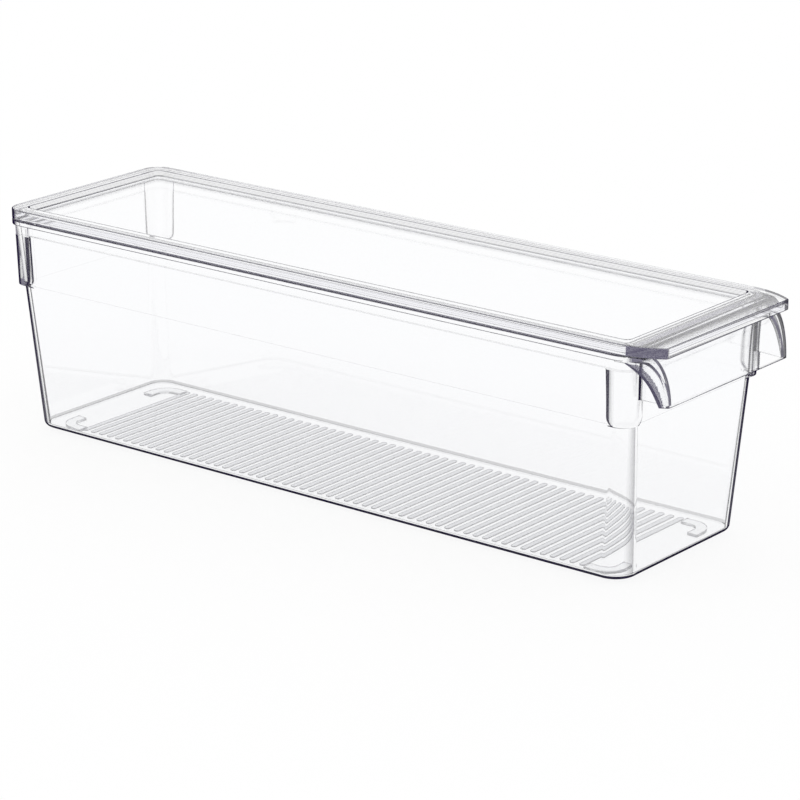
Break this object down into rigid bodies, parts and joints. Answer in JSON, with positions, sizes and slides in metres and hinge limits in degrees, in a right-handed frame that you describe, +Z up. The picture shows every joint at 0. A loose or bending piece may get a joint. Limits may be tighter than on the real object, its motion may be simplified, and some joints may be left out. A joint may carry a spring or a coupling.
{
  "type": "lidded fridge storage bin",
  "caption": "Long clear tapered bin with rounded corners, corner ledges and a curved grip lip, under a clear lift-off lid with a raised border and a pull tab.",
  "frame": {"origin": "middle of the bottom of the whole object, on the surface it stands on", "axes": "+X along the bin towards its grip lip and the lid's tab, +Y across it, +Z up"},
  "size_m": [0.368, 0.1052, 0.1085],
  "materials": {
    "bin_plastic": "clear, colourless, hard and polished, with a faint cool tint at thick edges",
    "lid_plastic": "clear, colourless, hard and polished, with a faint cool tint at thick edges"
  },
  "bodies": {
    "bin": {"bin": "bin_plastic"},
    "lid": {"lid": "lid_plastic"}
  },
  "joints": [
    {"name": "lid_lift", "type": "slide", "parent": "bin", "child": "lid", "axis": [0, 0, 1], "range_m": [0, 0.12]}
  ]
}
